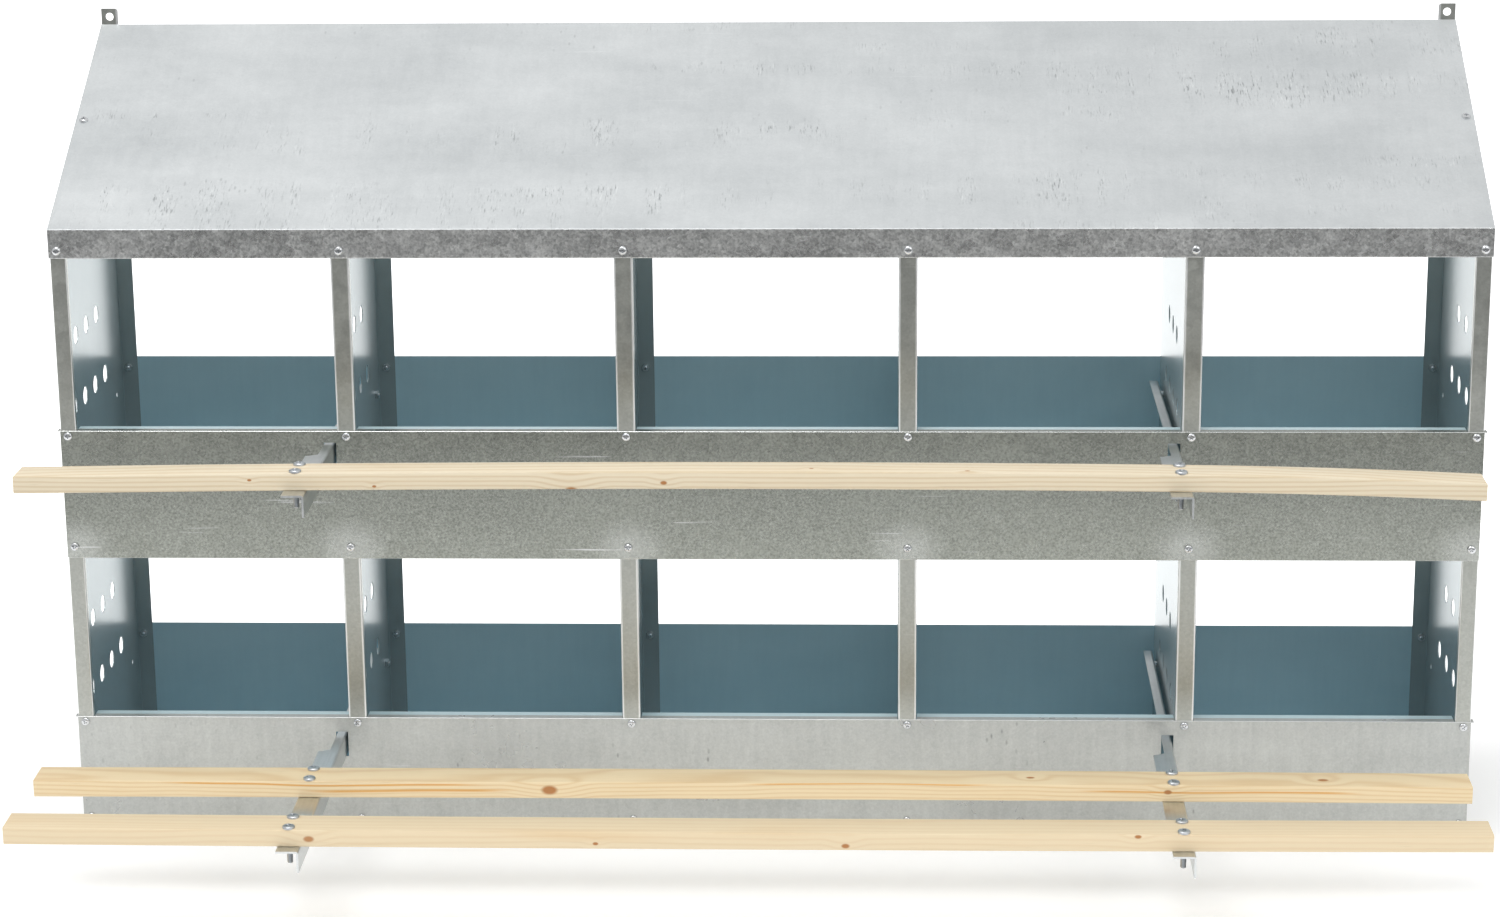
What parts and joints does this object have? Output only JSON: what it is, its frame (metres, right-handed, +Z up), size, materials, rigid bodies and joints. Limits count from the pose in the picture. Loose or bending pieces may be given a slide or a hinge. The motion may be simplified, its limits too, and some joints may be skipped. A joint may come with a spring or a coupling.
{
  "type": "nesting box",
  "caption": "Two-row sheet steel laying nest for hens with a sloping roof, low fronts, ventilated dividers, hanging tabs and wooden landing perches on folded steel arms",
  "frame": {"origin": "on the ground, midway across the width and midway between the tips of the lower perch arms and the back panels' screws", "axes": "+X to the right seen from the front, +Y from the perches to the back, +Z up"},
  "size_m": [1.4583, 0.6122, 0.8375],
  "materials": {
    "galvanised_sheet": "hot-dip galvanised sheet, fine spangle, satin",
    "zinc_plated": "bright zinc-plated hardware",
    "pine": "planed pine, unfinished"
  },
  "bodies": {
    "root": {"arm_spacers": "zinc_plated", "arm_tail_bolts": "zinc_plated", "arm_tail_nuts": "zinc_plated", "divider_1": "galvanised_sheet", "divider_2": "galvanised_sheet", "divider_3": "galvanised_sheet", "divider_4": "galvanised_sheet", "left_side_wall": "galvanised_sheet", "lower_back_nuts": "zinc_plated", "lower_back_panel": "galvanised_sheet", "lower_back_screws": "zinc_plated", "lower_front_nuts": "zinc_plated", "lower_front_panel": "galvanised_sheet", "lower_front_perch": "pine", "lower_front_screws": "zinc_plated", "lower_left_perch_arm": "zinc_plated", "lower_perch_bolts": "zinc_plated", "lower_perch_nuts": "zinc_plated", "lower_rear_perch": "pine", "lower_right_perch_arm": "zinc_plated", "nest_floor_lower_1": "galvanised_sheet", "nest_floor_lower_2": "galvanised_sheet", "nest_floor_lower_3": "galvanised_sheet", "nest_floor_lower_4": "galvanised_sheet", "nest_floor_lower_5": "galvanised_sheet", "nest_floor_upper_1": "galvanised_sheet", "nest_floor_upper_2": "galvanised_sheet", "nest_floor_upper_3": "galvanised_sheet", "nest_floor_upper_4": "galvanised_sheet", "nest_floor_upper_5": "galvanised_sheet", "right_side_wall": "galvanised_sheet", "roof_lip_nuts": "zinc_plated", "roof_lip_screws": "zinc_plated", "roof_panel": "galvanised_sheet", "roof_slope_nuts": "zinc_plated", "roof_slope_screws": "zinc_plated", "upper_back_nuts": "zinc_plated", "upper_back_panel": "galvanised_sheet", "upper_back_screws": "zinc_plated", "upper_front_nuts": "zinc_plated", "upper_front_panel": "galvanised_sheet", "upper_front_screws": "zinc_plated", "upper_left_perch_arm": "zinc_plated", "upper_perch": "pine", "upper_perch_bolts": "zinc_plated", "upper_perch_nuts": "zinc_plated", "upper_right_perch_arm": "zinc_plated"}
  },
  "joints": []
}
